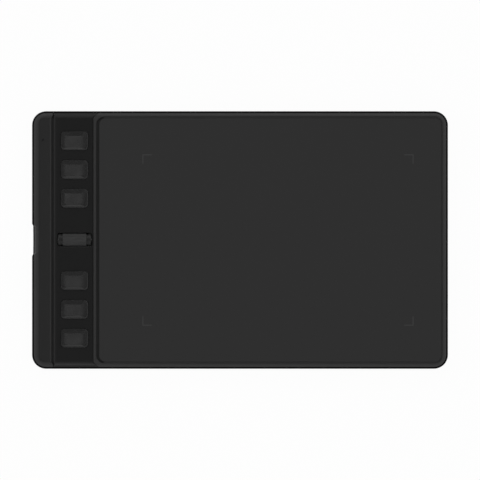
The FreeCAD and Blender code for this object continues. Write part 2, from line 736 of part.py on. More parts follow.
def make_encoder_magnet():
    magnet = rod(KEY_X - CAP_OUTER, KEY_X - CAP_OUTER + MAGNET_DEPTH, MAGNET_R)
    return magnet.cut(rod(KEY_X - CAP_OUTER - OVER, KEY_X, AXLE_R + FIT_GAP))


def make_roller_axle():
    axle = rod(KEY_X - AXLE_HALF, KEY_X + AXLE_HALF, AXLE_R)
    ends = [e for e in axle.Edges if isinstance(e.Curve, Part.Circle)]
    return axle.makeChamfer(AXLE_CHAMFER, ends)


def make_bush(side):
    ends = sorted((KEY_X + side * ARM_INNER, KEY_X + side * ARM_OUTER))
    bush = rod(ends[0], ends[1], BUSH_R)
    return bush.cut(rod(ends[0] - OVER, ends[1] + OVER, AXLE_R + BUSH_GAP))


def make_roller_cradle():
    """Bracket with two arms for the bushes, two rails past the roller and two screw ears."""
    pieces = []
    for side in (-1, 1):
        x0, x1 = sorted((KEY_X + side * ARM_INNER, KEY_X + side * ARM_OUTER))
        pieces.append(box(x0, x1, ROLLER_Y - RAIL_Y1, ROLLER_Y + RAIL_Y1, CRADLE_Z0, CRADLE_Z1))
        pieces.append(box(x0, x1, ROLLER_Y - ARM_HALF_Y, ROLLER_Y + ARM_HALF_Y,
                          CRADLE_Z0, ARM_TOP_Z))
        y0, y1 = sorted((ROLLER_Y + side * RAIL_Y0, ROLLER_Y + side * RAIL_Y1))
        pieces.append(box(KEY_X - ARM_OUTER, KEY_X + ARM_OUTER, y0, y1,
                          CRADLE_Z0, CRADLE_Z1 + EAR_THICK))
        y0, y1 = sorted((ROLLER_Y + side * RAIL_Y0, ROLLER_Y + side * EAR_Y1))
        pieces.append(box(KEY_X - EAR_HALF_X, KEY_X + EAR_HALF_X, y0, y1,
                          CRADLE_Z1, CRADLE_Z1 + EAR_THICK))
    cradle = joined(pieces)
    cradle = cradle.cut(rod(KEY_X - ARM_OUTER - OVER, KEY_X + ARM_OUTER + OVER, BUSH_R + FIT_GAP))
    for side in (-1, 1):
        cradle = cradle.cut(post(KEY_X, ROLLER_Y + side * EAR_SCREW_Y, 0, TOP_Z, SHANK_R))
    return cradle


def make_main_board():
    """C-shaped board with a bay for the roller and a notch for the socket."""
    board = box(BOARD_X0, BOARD_X1, -BOARD_HALF_Y, BOARD_HALF_Y, BOARD_Z0, BOARD_Z1)
    bay = box(BOARD_BAY_X0, BOARD_X1 + OVER, ROLLER_Y - BOARD_BAY_HALF_Y,
              ROLLER_Y + BOARD_BAY_HALF_Y, 0, TOP_Z)
    half_y = PORT_W / 2 + FREE_GAP
    socket_notch = box(BOARD_X0 - OVER, PORT_X1 + FREE_GAP, PORT_Y - half_y, PORT_Y + half_y,
                       0, TOP_Z)
    board = board.cut(bay).cut(socket_notch)
    for x, y in BOARD_SCREWS:
        board = board.cut(post(x, y, 0, TOP_Z, SHANK_R))
    return board


def chip(x, y, size_x, size_y, height):
    """Flat component on top of the control board."""
    return box(x - size_x / 2, x + size_x / 2, y - size_y / 2, y + size_y / 2,
               BOARD_Z1, BOARD_Z1 + height)


def make_socket_shell():
    """Thin metal oval tube, closed at the back."""
    outer = port_hole(0).common(box(PORT_X0, PORT_X1, -HALF_D, HALF_D, 0, TOP_Z))
    inner = port_hole(-PORT_SKIN).common(box(PORT_X0 - OVER, PORT_X1 - PORT_SKIN, -HALF_D,
                                             HALF_D, 0, TOP_Z))
    return outer.cut(inner)


def make_socket_tongue():
    """Contact tongue and the insulating block that holds it inside the shell."""
    tongue = box(TONGUE_X0, PORT_X1 - PORT_SKIN, PORT_Y - TONGUE_W / 2, PORT_Y + TONGUE_W / 2,
                 PORT_Z - TONGUE_H / 2, PORT_Z + TONGUE_H / 2)
    block = port_hole(-PORT_SKIN - FIT_GAP).common(
        box(PORT_X1 - PORT_SKIN - PORT_BACK, PORT_X1 - PORT_SKIN, -HALF_D, HALF_D, 0, TOP_Z))
    return joined([tongue, block])


def make_light_guide():
    pin = post(LAMP_X, LAMP_Y, BOARD_Z1 + LED_HEIGHT + LED_GAP, TOP_Z, LAMP_R)
    flange = post(LAMP_X, LAMP_Y, BAND_UNDER_Z - LAMP_FLANGE_THICK, BAND_UNDER_Z, LAMP_FLANGE_R)
    return joined([pin, flange])


def make_sensor_board():
    """Antenna board with round notches for the case bosses."""
    board = box(SENSOR_X0, SENSOR_X1, -SENSOR_HALF_Y, SENSOR_HALF_Y,
                SKIN_UNDER_Z - SENSOR_THICK, SKIN_UNDER_Z)
    for x, y in CASE_SCREWS:
        board = board.cut(post(x, y, 0, TOP_Z, BOSS_R + BITE))
    return board


def make_shield_plate():
    return plate(SHIELD_X0, SHIELD_X1, -SHIELD_HALF_Y, SHIELD_HALF_Y, RIB_TOP_Z,
                 RIB_TOP_Z + SHIELD_THICK, SHIELD_CORNER_R)


def make_connector(x_range, z0):
    half_y = CONNECTOR_W / 2
    return box(x_range[0], x_range[1], CABLE_Y - half_y, CABLE_Y + half_y,
               z0, z0 + CONNECTOR_HEIGHT)


def make_flat_cable():
    """Thin ribbon from one connector's mouth to the other, with two bends."""
    low_z = BOARD_Z1 + CONNECTOR_HEIGHT / 2
    high_z = SKIN_UNDER_Z - SENSOR_THICK - CONNECTOR_HEIGHT / 2
    line = [(BOARD_CONNECTOR_X[1], low_z), (CABLE_BEND_X[0], low_z),
            (CABLE_BEND_X[1], high_z), (SENSOR_CONNECTOR_X[0], high_z)]
    upper = [Vector(x, CABLE_Y - CABLE_W / 2, z + CABLE_THICK / 2) for x, z in line]
    lower = [Vector(x, CABLE_Y - CABLE_W / 2, z - CABLE_THICK / 2) for x, z in reversed(line)]
    face = Part.Face(Part.makePolygon(upper + lower + upper[:1]))
    return face.extrude(Vector(0, CABLE_W, 0))


def screw(x, y, head_z0, head_z1, end_z, head_r, shank_r):
    """Screw with a cross drive in its head; head_z0 is the drive's side."""
    direction = 1 if head_z1 > head_z0 else -1
    head = post(x, y, min(head_z0, head_z1), max(head_z0, head_z1), head_r)
    shank = post(x, y, min(head_z1, end_z), max(head_z1, end_z), shank_r)
    body = joined([head, shank])
    z0, z1 = sorted((head_z0 - direction * OVER, head_z0 + direction * DRIVE_DEPTH))
    reach = head_r * DRIVE_REACH
    for half_x, half_y in ((reach, DRIVE_HALF_WIDTH), (DRIVE_HALF_WIDTH, reach)):
        body = body.cut(box(x - half_x, x + half_x, y - half_y, y + half_y, z0, z1))
    return body


def make_case_screws():
    z0 = HEAD_SINK_Z - HEAD_THICK
    return Part.makeCompound([screw(x, y, z0, HEAD_SINK_Z, CASE_SCREW_END_Z, HEAD_R, SHANK_R)
                              for x, y in CASE_SCREWS])


def make_board_screws():
    top = BOARD_Z1 + SMALL_HEAD_THICK
    return Part.makeCompound([screw(x, y, top, BOARD_Z1, SMALL_SCREW_END_Z, SMALL_HEAD_R,
                                    SMALL_SHANK_R) for x, y in BOARD_SCREWS])


def make_cradle_screws():
    seat = CRADLE_Z1 + EAR_THICK
    return Part.makeCompound([screw(KEY_X, ROLLER_Y + side * EAR_SCREW_Y, seat + SMALL_HEAD_THICK,
                                    seat, SMALL_SCREW_END_Z, SMALL_HEAD_R, SMALL_SHANK_R)
                              for side in (-1, 1)])


def build():
    save(make_top_cover(), "top_cover")
    save(make_bottom_cover(), "bottom_cover")
    save(make_left_band(), "left_band")
    save(make_key_strip(), "key_strip")
    save(make_film(), "drawing_film")
    save(make_film_adhesive(), "film_adhesive")
    for number, y in enumerate(KEY_CENTRES_Y, 1):
        save(make_key(y), f"key_{number}")
        save(make_switch_body(y), f"switch_body_{number}")
        save(make_switch_plunger(y), f"switch_plunger_{number}")
    save(make_roller_tyre(), "roller_tyre")
    save(make_roller_core(), "roller_core")
    save(make_encoder_magnet(), "encoder_magnet")
    save(make_roller_axle(), "roller_axle")
    save(make_bush(-1), "axle_bush_left")
    save(make_bush(1), "axle_bush_right")
    save(make_roller_cradle(), "roller_cradle")
    save(make_cradle_screws(), "cradle_screws")
    save(make_main_board(), "main_board")
    save(make_board_screws(), "board_screws")
    for name, (x, y, size_x, size_y) in CHIPS.items():
        save(chip(x, y, size_x, size_y, CHIP_HEIGHT), name)
    save(chip(LAMP_X, LAMP_Y, LED_SIZE, LED_SIZE, LED_HEIGHT), "status_led")
    save(make_light_guide(), "status_light_guide")
    save(make_socket_shell(), "usb_socket_shell")
    save(make_socket_tongue(), "usb_socket_tongue")
    save(make_sensor_board(), "sensor_board")
    save(make_shield_plate(), "shield_plate")
    save(make_connector(BOARD_CONNECTOR_X, BOARD_Z1), "board_connector")
    save(make_connector(SENSOR_CONNECTOR_X, SKIN_UNDER_Z - SENSOR_THICK - CONNECTOR_HEIGHT),
         "sensor_connector")
    save(make_flat_cable(), "sensor_flat_cable")
    for number, (x, y) in enumerate(FOOT_CENTRES, 1):
        save(make_foot(x, y), f"rubber_foot_{number}")
    save(make_case_screws(), "case_screws")


build()
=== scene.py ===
import math

import bmesh
import bpy
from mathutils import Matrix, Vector


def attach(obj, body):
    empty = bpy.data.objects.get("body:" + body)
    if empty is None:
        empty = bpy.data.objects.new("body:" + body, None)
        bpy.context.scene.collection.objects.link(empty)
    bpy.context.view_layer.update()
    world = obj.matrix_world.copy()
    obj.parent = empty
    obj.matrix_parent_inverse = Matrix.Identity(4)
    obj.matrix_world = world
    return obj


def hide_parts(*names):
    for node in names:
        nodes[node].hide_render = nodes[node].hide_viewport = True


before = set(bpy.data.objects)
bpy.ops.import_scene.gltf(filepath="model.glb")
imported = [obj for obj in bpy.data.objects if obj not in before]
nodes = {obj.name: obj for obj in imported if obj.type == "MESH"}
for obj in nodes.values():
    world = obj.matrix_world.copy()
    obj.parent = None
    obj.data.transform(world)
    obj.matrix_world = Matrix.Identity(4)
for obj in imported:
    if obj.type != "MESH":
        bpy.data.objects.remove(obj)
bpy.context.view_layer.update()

MM = 0.001

# Camera, straight above the middle, and how much of the table it sees
VIEW_WIDTH = 282.03 * MM
VIEW_PLANE_Z = 4.3 * MM
LENS_MM = 600.0
SENSOR_MM = 36.0
CLIP_START = 0.1
CLIP_END = 30.0

# Fineness of the meshes made here
CORNER_STEPS = 8
EDGE_STEPS = 4
SHARP_ANGLE = math.radians(38)
WELD = 0.0005 * MM

# Keys, in millimetres apart from the share and the bend
KEY_X = -97.15
KEY_W = 15.7
KEY_H = 10.8
KEY_CORNER_R = 2.0
KEY_TOP_Z = 8.5
KEY_CENTRES_Y = (58.2, 41.3, 24.4, -23.9, -40.8, -57.7)
KEY_EDGE_R = 0.5
KEY_SIDE_R = 0.05
KEY_EDGE_STEPS = 6
KEY_LIP = 0.06
KEY_RIGHT_LIP = 0.4
KEY_NEAR_LIP = 0.65
KEY_DISH_FAR_DEPTH = 0.31
KEY_DISH_NEAR_DEPTH = 0.44
KEY_DISH_FAR = 2.6
KEY_DISH_NEAR = 1.63
KEY_DISH_LEFT = 5.2
KEY_DISH_RIGHT = 4.8
KEY_DISH_RIGHT_SHARE = 0.6
KEY_DISH_CORNER_R = 0.8
KEY_DISH_STEPS = 8
KEY_LEFT_BEND = 1 / 3
KEY_FLANGE = 0.9
KEY_FLANGE_Z0 = 6.05
KEY_FLANGE_Z1 = 6.85
KEY_POST_R = 1.4
KEY_POST_Z = 5.5

# Corner marks printed on the film, in millimetres
MARK_X0 = -57.0
MARK_X1 = 101.6
MARK_HALF_Y = 50.0
MARK_WIDTH = 0.5
MARK_REACH = 5.0
MARK_THICK = 0.01
FILM_TOP_Z = 8.5

# Casing and key strip, in millimetres
HALF_D = 75.65
TOP_Z = 8.6
LEDGE = 1.2
RIM_R = 2.6
RIM_REACH = 2.0
STRIP_X0 = -109.6
STRIP_X0_AT_RIM = -109.4
STRIP_X1 = -86.25
STRIP_BOTTOM_Z = 6.9
STRIP_TOP_Z = 7.6
STRIP_EDGE_TURN = math.radians(24)
STRIP_EDGE_REACH = 1.0
STRIP_EDGE_R = 0.6
HOOK_SETBACK = 0.2
STRIP_FINE_R = 0.12
SHIFT_Y0 = 71.9
SHIFT_Y1 = 73.4
FLARE_Y = 71.2
FLARE_R = 1.6
FLARE_TURN = math.radians(50)
RAMP_FOOT_Y = 70.8
RAMP_TOP_Y = 74.1
RAMP_POWER = 2.0
RAMP_STEPS = 14
HOOK_THICK = 0.7
HOOK_Z = 5.4
WINDOW_GAP = 0.2
WINDOW_EDGE_R = 0.12

# Scroll roller about an axle along X, and the strip's opening for it, in millimetres
ROLLER_Y = 0.2
ROLLER_Z = 5.55
SLOT_HALF_X = 10.35
SLOT_Y0 = -4.4
SLOT_Y1 = 4.55
SLOT_CORNER_R = 2.0
SLOT_FOOT_HALF_X = 10.1
SLOT_FOOT_Y0 = -3.7
SLOT_FOOT_Y1 = 4.08
SLOT_FOOT_Z = 6.95
SLOT_FOOT_CORNER_R = 1.2
TYRE_R = 3.8
TYRE_INNER_R = 2.91
TYRE_HALF = 7.0
TYRE_EDGE_R = 0.35
TYRE_RIBS = 24
RIB_POINTS = 10
RIB_DEPTH = 0.2
RIB_SPREAD = 0.17
HUB_R = 2.9
NECK_R = 3.45
NECK_START = 7.05
NECK_END = 7.9
CAP_R = 3.78
CAP_OUTER = 9.8
CAP_ROUND = 0.6
CAP_DISH = 0.18
CAP_STEPS = 6
BORE_R = 0.76
MAGNET_R = 1.91
MAGNET_DEPTH = 1.0
LATHE_STEPS = 72

# Contacts of the data socket, in millimetres
CONTACTS = 12
CONTACT_PITCH = 0.5
CONTACT_WIDTH = 0.26
CONTACT_THICK = 0.03
CONTACT_X0 = -119.65
CONTACT_X1 = -117.4
PORT_Y = 0.05
TONGUE_Z0 = 4.33
TONGUE_Z1 = 5.03

# Studio dome: pairs of height, as a share of the way up, and strength
DOME = ((0.0, 0.75), (0.3, 1.0), (0.80, 1.0), (0.94, 0.12), (0.9915, 0.12), (0.9965, 1.6))
DOME_PEAK = 1.6

# Lamp beyond the far side: its place and its two sides in metres, and its power in watts
LAMP_PLACE = (0.0, 1.5, 1.1)
LAMP_SIDES = (1.4, 0.5)
LAMP_WATTS = 3.0

# Table top: its side in metres, its tone, and the share of its light that is its own, as a
# camera or a mirror sees it
FLOOR_SIDE = 6.0
FLOOR_TONE = 0.8
FLOOR_GLOW = 0.96

# Painted shade: where the casing lies sunk under the strip and beside the film, between two corners
# in millimetres, its colour is darkened to this share of its own tone to stand for the shade there
SHADED_SUNK_FLOORS = ((-111.0, -74.0, 2.5), (-79.0, 74.0, 7.5))
PAINTED_SHADE_SHARE = 0.3

# Painted highlight on the key strip's ends and left edge, from not at all to fully, in millimetres, and
# by how much
HIGHLIGHT_END_Y = (71.0, 73.4)
HIGHLIGHT_EDGE_X = (-107.6, -109.0)
HIGHLIGHT_LIFT = 0.007

# Painted light on the sloping edge of the roller's slot, between two corners in millimetres, and how
# much paler its colour is made there to lighten its shade
SLOT_ROLL = ((-107.6, -4.7, 6.8), (-86.7, 4.8, 7.5))
SLOT_PAINTED_LIFT = 0.03


def set_inputs(node, **values):
    """Sets a node's inputs, named with an underscore for a space."""
    for key, value in values.items():
        node.inputs[key.replace("_", " ")].default_value = value


def calculate(tree, operation, *values):
    """Result of a Math node that is fed with other nodes' outputs or with numbers."""
    node = tree.nodes.new("ShaderNodeMath")
    node.operation = operation
    for target, value in zip(node.inputs, values):
        if isinstance(value, (float, int)):
            target.default_value = value
        else:
            tree.links.new(value, target)
    return node.outputs[0]


def new_object(name, data):
    """Object with that data, linked into the scene."""
    thing = bpy.data.objects.new(name, data)
    bpy.context.scene.collection.objects.link(thing)
    return thing


def grey(level, warmth=0.0):
    """Colour of that level, a little cooler or warmer."""
    return (level * (1 + warmth), level, level * (1 - warmth), 1.0)


class Shader:
    """A material under construction, with its links made by short calls."""

    def __init__(self, name):
        self.material = bpy.data.materials.new(name)
        self.material.use_nodes = True
        self.tree = self.material.node_tree
        self.surface = self.tree.nodes["Principled BSDF"]
        self.place = self.add("ShaderNodeTexCoord").outputs["Object"]

    def add(self, kind, **settings):
        node = self.tree.nodes.new(kind)
        for key, value in settings.items():
            setattr(node, key, value)
        return node

    def link(self, source, target):
        self.tree.links.new(source, target)

    def stretched(self, scale):
        """Object coordinates, scaled along each axis."""
        mapping = self.add("ShaderNodeMapping")
        set_inputs(mapping, Scale=scale)
        self.link(self.place, mapping.inputs["Vector"])
        return mapping.outputs["Vector"]

    def noise(self, size, detail=2.0, rough=0.5, place=None):
        """Noise whose lumps are about size across, in metres."""
        node = self.add("ShaderNodeTexNoise")
        set_inputs(node, Scale=1 / size, Detail=detail, Roughness=rough)
        self.link(place or self.place, node.inputs["Vector"])
        return node.outputs["Fac"]

    def cells(self, size):
        """Distance to the nearest of scattered points about size apart."""
        node = self.add("ShaderNodeTexVoronoi")
        set_inputs(node, Scale=1 / size)
        self.link(self.place, node.inputs["Vector"])
        return node.outputs["Distance"]

    def spread(self, value, low, high, from_low=0.3, from_high=0.7):
        """Value brought from one range to another."""
        node = self.add("ShaderNodeMapRange")
        set_inputs(node, From_Min=from_low, From_Max=from_high, To_Min=low, To_Max=high)
        self.link(value, node.inputs["Value"])
        return node.outputs["Result"]

    def axes(self):
        """The three object coordinates."""
        split = self.add("ShaderNodeSeparateXYZ")
        self.link(self.place, split.inputs[0])
        return tuple(split.outputs)

    def within(self, limits):
        """1 inside a box given by its lower and upper corners in millimetres, else 0."""
        x, y, z = (calculate(self.tree, "COMPARE", along, (low + high) / 2 * MM,
                             (high - low) / 2 * MM)
                   for along, low, high in zip(self.axes(), *limits))
        return calculate(self.tree, "MULTIPLY", calculate(self.tree, "MULTIPLY", x, y), z)

    def painted_highlight(self):
        """How far the strip's colour is paled by a painted highlight there: at its left edge and up its
        two ends.
        """
        x, y = self.axes()[:2]
        out = calculate(self.tree, "ABSOLUTE", y)
        ends = self.spread(out, 0.0, 1.0, HIGHLIGHT_END_Y[0] * MM, HIGHLIGHT_END_Y[1] * MM)
        edge = self.spread(x, 0.0, 1.0, HIGHLIGHT_EDGE_X[0] * MM, HIGHLIGHT_EDGE_X[1] * MM)
        return calculate(self.tree, "MAXIMUM", ends, edge)

    def blend(self, factor, first, second):
        """Colour between two colours."""
        node = self.add("ShaderNodeMix", data_type="RGBA")
        self.link(factor, node.inputs["Factor"])
        for end, name in ((first, "A"), (second, "B")):
            target = next(s for s in node.inputs if s.name == name and s.type == "RGBA")
            if isinstance(end, tuple):
                target.default_value = end
            else:
                self.link(end, target)
        return next(s for s in node.outputs if s.type == "RGBA")

    def mottle(self, value, level, low, high, warmth=0.0, reach=1.0):
        """Colour that wanders between two shares of a level as value does."""
        return self.blend(self.spread(value, 0.0, reach), grey(level * low, warmth),
                          grey(level * high, warmth))

    def bump(self, height, strength, depth, onto=None):
        """Surface relief of that depth in metres."""
        node = self.add("ShaderNodeBump")
        set_inputs(node, Strength=strength, Distance=depth)
        self.link(height, node.inputs["Height"])
        if onto is not None:
            self.link(onto, node.inputs["Normal"])
        return node.outputs["Normal"]

    def colour(self, value):
        self.put("Base Color", value)

    def roughness(self, level, value=None, below=0.0, above=0.0):
        """Even roughness, or one that wanders below and above its level as value does."""
        if value is not None:
            level = self.spread(value, level - below, level + above)
        self.put("Roughness", level)

    def normal(self, value):
        self.link(value, self.surface.inputs["Normal"])

    def put(self, name, value):
        """Sets or links one input of the surface."""
        target = self.surface.inputs[name]
        if isinstance(value, (tuple, float, int)):
            target.default_value = value
        else:
            self.link(value, target)


def moulded(name, level, roughness, specular, grain=0.28 * MM, warmth=0.0, painted_shade_box=None):
    """Moulded plastic with a fine eroded grain; inside the box given for painted shade its colour is
    darkened to stand for the shade in sunk floors.
    """
    shader = Shader(name)
    relief = 0.012 * MM
    fine = shader.noise(grain, detail=3.0)
    coarse = shader.noise(grain * 3.1, detail=1.0)
    cloud = shader.noise(38 * MM, detail=3.0)
    fleck = shader.mottle(fine, level, low=0.9, high=1.1, warmth=warmth)
    colour = shader.blend(shader.spread(cloud, 0.0, 0.3), fleck, grey(level * 1.06, warmth))
    if painted_shade_box is not None:
        # painted shade: inside the box the colour drops to a share of its tone, standing for the shade
        # on the sunk floors
        colour = shader.blend(shader.within(painted_shade_box), colour, grey(level * PAINTED_SHADE_SHARE, warmth))
    shader.colour(colour)
    shader.roughness(roughness, coarse, below=0.05, above=0.05)
    shader.put("Specular IOR Level", specular)
    under = shader.bump(coarse, strength=0.35, depth=relief)
    shader.normal(shader.bump(fine, strength=0.6, depth=relief, onto=under))
    return shader.material


def textured_film(name, level, roughness, specular):
    """Matte sheet with a paper-like tooth."""
    shader = Shader(name)
    tooth = shader.noise(0.16 * MM, detail=4.0, rough=0.6)
    specks = shader.cells(0.22 * MM)
    cloud = shader.noise(60 * MM, detail=2.0)
    fleck = shader.mottle(tooth, level, low=0.94, high=1.07)
    shader.colour(shader.blend(shader.spread(cloud, 0.0, 0.25), fleck, grey(level * 1.05)))
    shader.roughness(roughness, tooth, below=0.06, above=0.06)
    shader.put("Specular IOR Level", specular)
    under = shader.bump(specks, strength=0.3, depth=0.006 * MM)
    shader.normal(shader.bump(tooth, strength=0.5, depth=0.008 * MM, onto=under))
    return shader.material


def satin(name, level, roughness, specular, lines=(1.0, 1.0, 1.0), painted_light=False):
    """Smooth satin plastic with a soft unevenness left by the mould; the strip's satin adds painted
    highlights on its edges and painted light on its slot's edge.
    """
    shader = Shader(name)
    flow = shader.noise(5 * MM, place=shader.stretched(lines))
    fine = shader.noise(0.12 * MM)
    colour = shader.mottle(flow, level, low=0.96, high=1.05)
    if painted_light:
        # painted highlight: paler colour on the strip's left edge and up its ends
        colour = shader.blend(shader.painted_highlight(), colour, grey(level + HIGHLIGHT_LIFT))
        # painted light: paler colour on the slot's sloping edge, lifting the shade there
        colour = shader.blend(shader.within(SLOT_ROLL), colour, grey(level + SLOT_PAINTED_LIFT))
    shader.colour(colour)
    shader.roughness(roughness, flow, below=0.03, above=0.03)
    shader.put("Specular IOR Level", specular)
    shader.normal(shader.bump(fine, strength=0.25, depth=0.004 * MM))
    return shader.material


def rubber(name, level, roughness, specular):
    """Matte rubber with a dusty bloom."""
    shader = Shader(name)
    fine = shader.noise(0.2 * MM, detail=4.0, rough=0.65)
    bloom = shader.noise(2.4 * MM, detail=3.0)
    shader.colour(shader.mottle(bloom, level, low=0.92, high=1.18, reach=0.6))
    shader.roughness(roughness, fine, below=0.06, above=0.06)
    shader.put("Specular IOR Level", specular)
    shader.normal(shader.bump(fine, strength=0.6, depth=0.012 * MM))
    return shader.material


def metal(name, level, roughness, warmth=0.0, lines=(1.0, 1.0, 12.0)):
    """Plated metal with a fine directional brushing."""
    shader = Shader(name)
    brushed = shader.noise(0.25 * MM, detail=3.0, place=shader.stretched(lines))
    shader.colour(shader.mottle(brushed, level, low=0.93, high=1.05, warmth=warmth))
    shader.put("Metallic", 1.0)
    shader.roughness(roughness, brushed, below=0.06, above=0.08)
    shader.normal(shader.bump(brushed, strength=0.3, depth=0.003 * MM))
    return shader.material


def circuit_board(name):
    """Solder mask over faint copper lines, with small tinned spots."""
    shader = Shader(name)
    mask = (0.012, 0.1, 0.035, 1.0)
    copper_under_mask = (0.03, 0.2, 0.07, 1.0)
    tin = (0.55, 0.55, 0.52, 1.0)
    grid = shader.add("ShaderNodeTexBrick", offset=0.5)
    set_inputs(grid, Scale=160.0, Mortar_Size=0.02, Color1=(1, 1, 1, 1), Color2=(1, 1, 1, 1),
               Mortar=(0, 0, 0, 1))
    shader.link(shader.place, grid.inputs["Vector"])
    lines = shader.blend(grid.outputs["Fac"], mask, copper_under_mask)
    spots = shader.spread(shader.cells(3.4 * MM), 1.0, 0.0, from_low=0.1, from_high=0.13)
    shader.colour(shader.blend(spots, lines, tin))
    shader.roughness(0.32)
    shader.normal(shader.bump(grid.outputs["Fac"], strength=0.4, depth=0.03 * MM))
    return shader.material


def lens(name, colour, roughness, specular=0.5):
    """Small clear part, smoked or tinted."""
    shader = Shader(name)
    haze = shader.noise(0.3 * MM, detail=2.0)
    shader.colour(colour)
    shader.roughness(roughness, haze, above=0.05)
    shader.put("Specular IOR Level", specular)
    return shader.material


def ribbon(name):
    """Amber film with copper lines along its length."""
    shader = Shader(name)
    amber = (0.42, 0.2, 0.04, 1.0)
    copper = (0.62, 0.34, 0.1, 1.0)
    wave = shader.add("ShaderNodeTexWave", bands_direction="Y")
    set_inputs(wave, Scale=320.0)
    shader.link(shader.place, wave.inputs["Vector"])
    lines = shader.spread(wave.outputs["Fac"], 0.0, 1.0, from_low=0.4, from_high=0.6)
    shader.colour(shader.blend(lines, amber, copper))
    shader.roughness(0.35)
    shader.normal(shader.bump(wave.outputs["Fac"], strength=0.3, depth=0.02 * MM))
    return shader.material


# The figures are level, roughness and specular level; metal has no specular level, and lens
# takes a colour for its level
materials = {
    # the casing's colour holds painted shade on its sunk floors
    "casing_plastic": moulded("casing grain", 0.021, 0.5, 0.3, painted_shade_box=SHADED_SUNK_FLOORS),
    "base_plastic": moulded("base grain", 0.0045, 0.6, 0.1),
    "band_plastic": satin("band satin", 0.0113, 0.42, 0.3, lines=(6.0, 1.0, 1.0)),
    # the strip's colour holds painted highlights on its edges and ends and painted light on its slot's
    # edge
    "strip_plastic": satin("strip satin", 0.0007, 0.42, 0.32, lines=(1.0, 0.3, 1.0), painted_light=True),
    "film": textured_film("film tooth", 0.0197, 0.6, 0.25),
    "adhesive": satin("adhesive", 0.5, 0.5, 0.4),
    "key_plastic": satin("key satin", 0.0137, 0.26, 0.36),
    "roller_rubber": rubber("roller rubber", 0.032, 0.7, 0.3),
    "roller_plastic": satin("hub plastic", 0.012, 0.4, 0.22),
    "magnet": metal("magnet", 0.12, 0.5),
    "steel": metal("steel", 0.56, 0.28),
    "bush_plastic": moulded("bush plastic", 0.05, 0.45, 0.3, grain=0.2 * MM),
    "board": circuit_board("board"),
    "chip": moulded("chip body", 0.018, 0.5, 0.4, grain=0.15 * MM),
    "tin": metal("tin", 0.6, 0.32, lines=(1.0, 10.0, 1.0)),
    "lamp": lens("lamp lens", (0.75, 0.74, 0.66, 1.0), 0.15),
    "light_guide": lens("smoked pin", (0.006, 0.006, 0.0065, 1.0), 0.5, specular=0.2),
    "connector": moulded("connector body", 0.6, 0.45, 0.4, grain=0.2 * MM, warmth=0.05),
    "ribbon": ribbon("ribbon"),
    "foot_rubber": rubber("foot rubber", 0.02, 0.75, 0.25),
}

print_ink = satin("printed mark", 0.04, 0.5, 0.3)
gold = metal("gold plate", 0.7, 0.25, warmth=0.35)

for node in nodes.values():
    slot = node.data.materials[0].name
    node.material_slots[0].material = materials[slot]


def ring(x0, x1, y0, y1, z, radius):
    """Points of a round-cornered rectangle at height z, all in millimetres."""
    points = []
    corners = ((x1 - radius, y1 - radius, 0), (x0 + radius, y1 - radius, 90),
               (x0 + radius, y0 + radius, 180), (x1 - radius, y0 + radius, 270))
    for cx, cy, start in corners:
        for i in range(CORNER_STEPS + 1):
            angle = math.radians(start + 90 * i / CORNER_STEPS)
            points.append((cx + radius * math.cos(angle), cy + radius * math.sin(angle), z))
    return points


def loft(name, rings, closed=False):
    """Mesh through rings of equally many points in millimetres.

    Both ends are flat, or else the last ring is joined to the first.
    """
    count = len(rings[0])
    points = [tuple(value * MM for value in point) for one in rings for point in one]
    starts = [level * count for level in range(len(rings))]
    faces = [] if closed else [tuple(range(count))]
    following = starts[1:] + starts[:1] if closed else starts[1:]
    for here, there in zip(starts, following):
        for i in range(count):
            after = (i + 1) % count
            faces.append((here + i, here + after, there + after, there + i))
    if not closed:
        faces.append(tuple(range(starts[-1], starts[-1] + count)))
    mesh = bpy.data.meshes.new(name)
    mesh.from_pydata(points, [], faces)
    return mesh


def outward(mesh, weld=None):
    """The mesh with its faces turned outward, and with points closer than weld made one."""
    form = bmesh.new()
    form.from_mesh(mesh)
    if weld is not None:
        bmesh.ops.remove_doubles(form, verts=form.verts, dist=weld)
    bmesh.ops.recalc_face_normals(form, faces=form.faces)
    form.to_mesh(mesh)
    form.free()
    return mesh


def add_piece(name, mesh, body, slot, *replaced):
    """Smooth-shaded piece on a body, in place of the CAD nodes named."""
    outward(mesh, WELD)
    mesh.shade_smooth()
    mesh.set_sharp_from_angle(angle=SHARP_ANGLE)
    mesh.materials.append(materials[slot])
    piece = new_object(name, mesh)
    even = piece.modifiers.new("even shading", "WEIGHTED_NORMAL")
    even.keep_sharp = True
    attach(piece, body)
    if replaced:
        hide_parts(*replaced)
    return piece


def rounding(radius, below):
    """How far a rounded edge of that radius stands back, that far below its top."""
    if below >= radius:
        return 0.0
    return radius - math.sqrt(radius ** 2 - (radius - below) ** 2)


def dish_depth(across, down):
    """Depth of a key's hollow, with across from 0 at its left edge and down from 0 at its far one."""
    depth = KEY_DISH_FAR_DEPTH + (KEY_DISH_NEAR_DEPTH - KEY_DISH_FAR_DEPTH) * down
    return depth * (1 - (1 - KEY_DISH_RIGHT_SHARE) * across)


